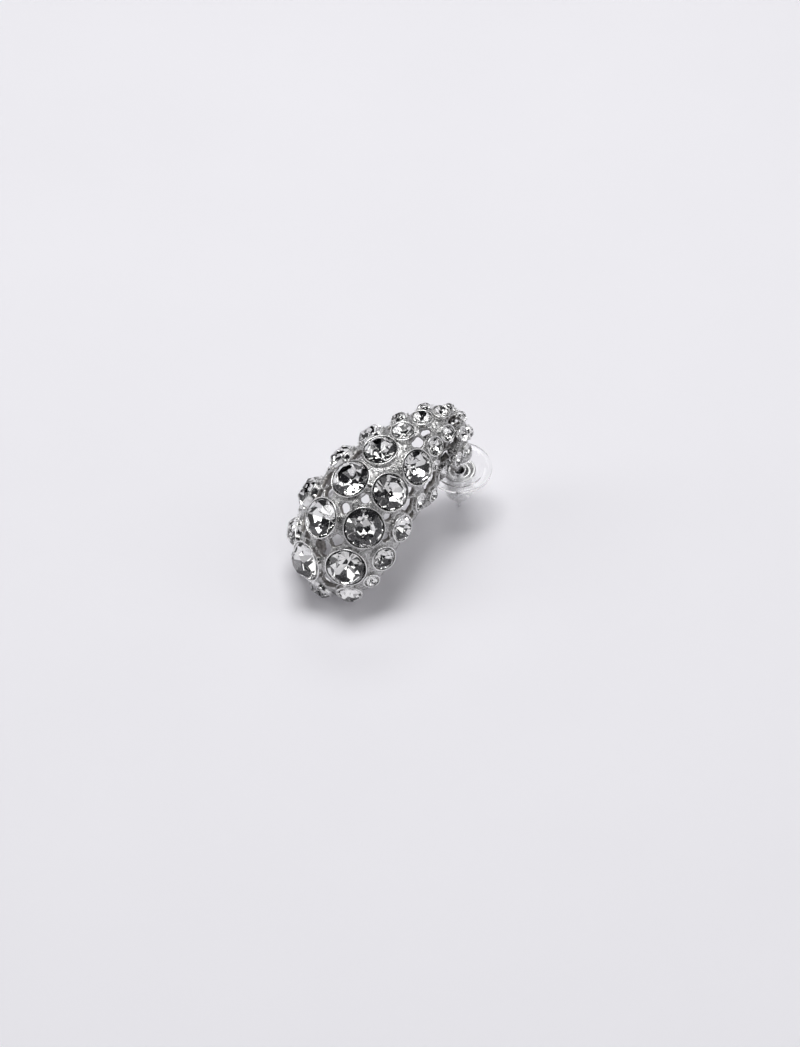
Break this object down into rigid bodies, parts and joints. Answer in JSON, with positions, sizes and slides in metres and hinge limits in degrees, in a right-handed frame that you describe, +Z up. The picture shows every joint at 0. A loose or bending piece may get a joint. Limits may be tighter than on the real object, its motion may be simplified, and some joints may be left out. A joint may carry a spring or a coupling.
{
  "type": "drop earring",
  "caption": "Comma-shaped domed drop earring: open-backed cast silver setting of round bezel cups with clear crystals, ear post, and sliding disc clutch.",
  "frame": {"origin": "centre of the bounding box in plan, on the surface it lies on", "axes": "+Z up from the surface, the dome's crystal front faces up; +Y along the earring's length, from the bulb towards the tip and its post; +X across it"},
  "size_m": [0.0216, 0.0384, 0.0244],
  "materials": {
    "silver": "polished silver-tone plating, cast texture between the cups",
    "crystal": "clear faceted crystal, foiled behind",
    "clear_plastic": "clear moulded plastic"
  },
  "bodies": {
    "earring": {"setting": "silver", "ear_post": "silver", "crystal_01": "crystal", "crystal_02": "crystal", "crystal_03": "crystal", "crystal_04": "crystal", "crystal_05": "crystal", "crystal_06": "crystal", "crystal_07": "crystal", "crystal_08": "crystal", "crystal_09": "crystal", "crystal_10": "crystal", "crystal_11": "crystal", "crystal_12": "crystal", "crystal_13": "crystal", "crystal_14": "crystal", "crystal_15": "crystal", "crystal_16": "crystal", "crystal_17": "crystal", "crystal_18": "crystal", "crystal_19": "crystal", "crystal_20": "crystal", "crystal_21": "crystal", "crystal_22": "crystal", "crystal_23": "crystal", "crystal_24": "crystal", "crystal_25": "crystal", "crystal_26": "crystal", "crystal_27": "crystal", "crystal_28": "crystal", "crystal_29": "crystal", "crystal_30": "crystal", "crystal_31": "crystal", "crystal_32": "crystal", "crystal_33": "crystal", "crystal_34": "crystal", "crystal_35": "crystal", "crystal_36": "crystal", "crystal_37": "crystal", "crystal_38": "crystal", "crystal_39": "crystal", "crystal_40": "crystal", "crystal_41": "crystal", "crystal_42": "crystal", "crystal_43": "crystal", "crystal_44": "crystal", "crystal_45": "crystal"},
    "clutch": {"clutch_barrel": "silver", "clutch_disc": "clear_plastic"}
  },
  "joints": [
    {"name": "clutch_slide", "type": "slide", "parent": "earring", "child": "clutch", "axis": [-0.0645, -0.0218, -0.9977], "range_m": [-0.0008, 0.0033]}
  ]
}
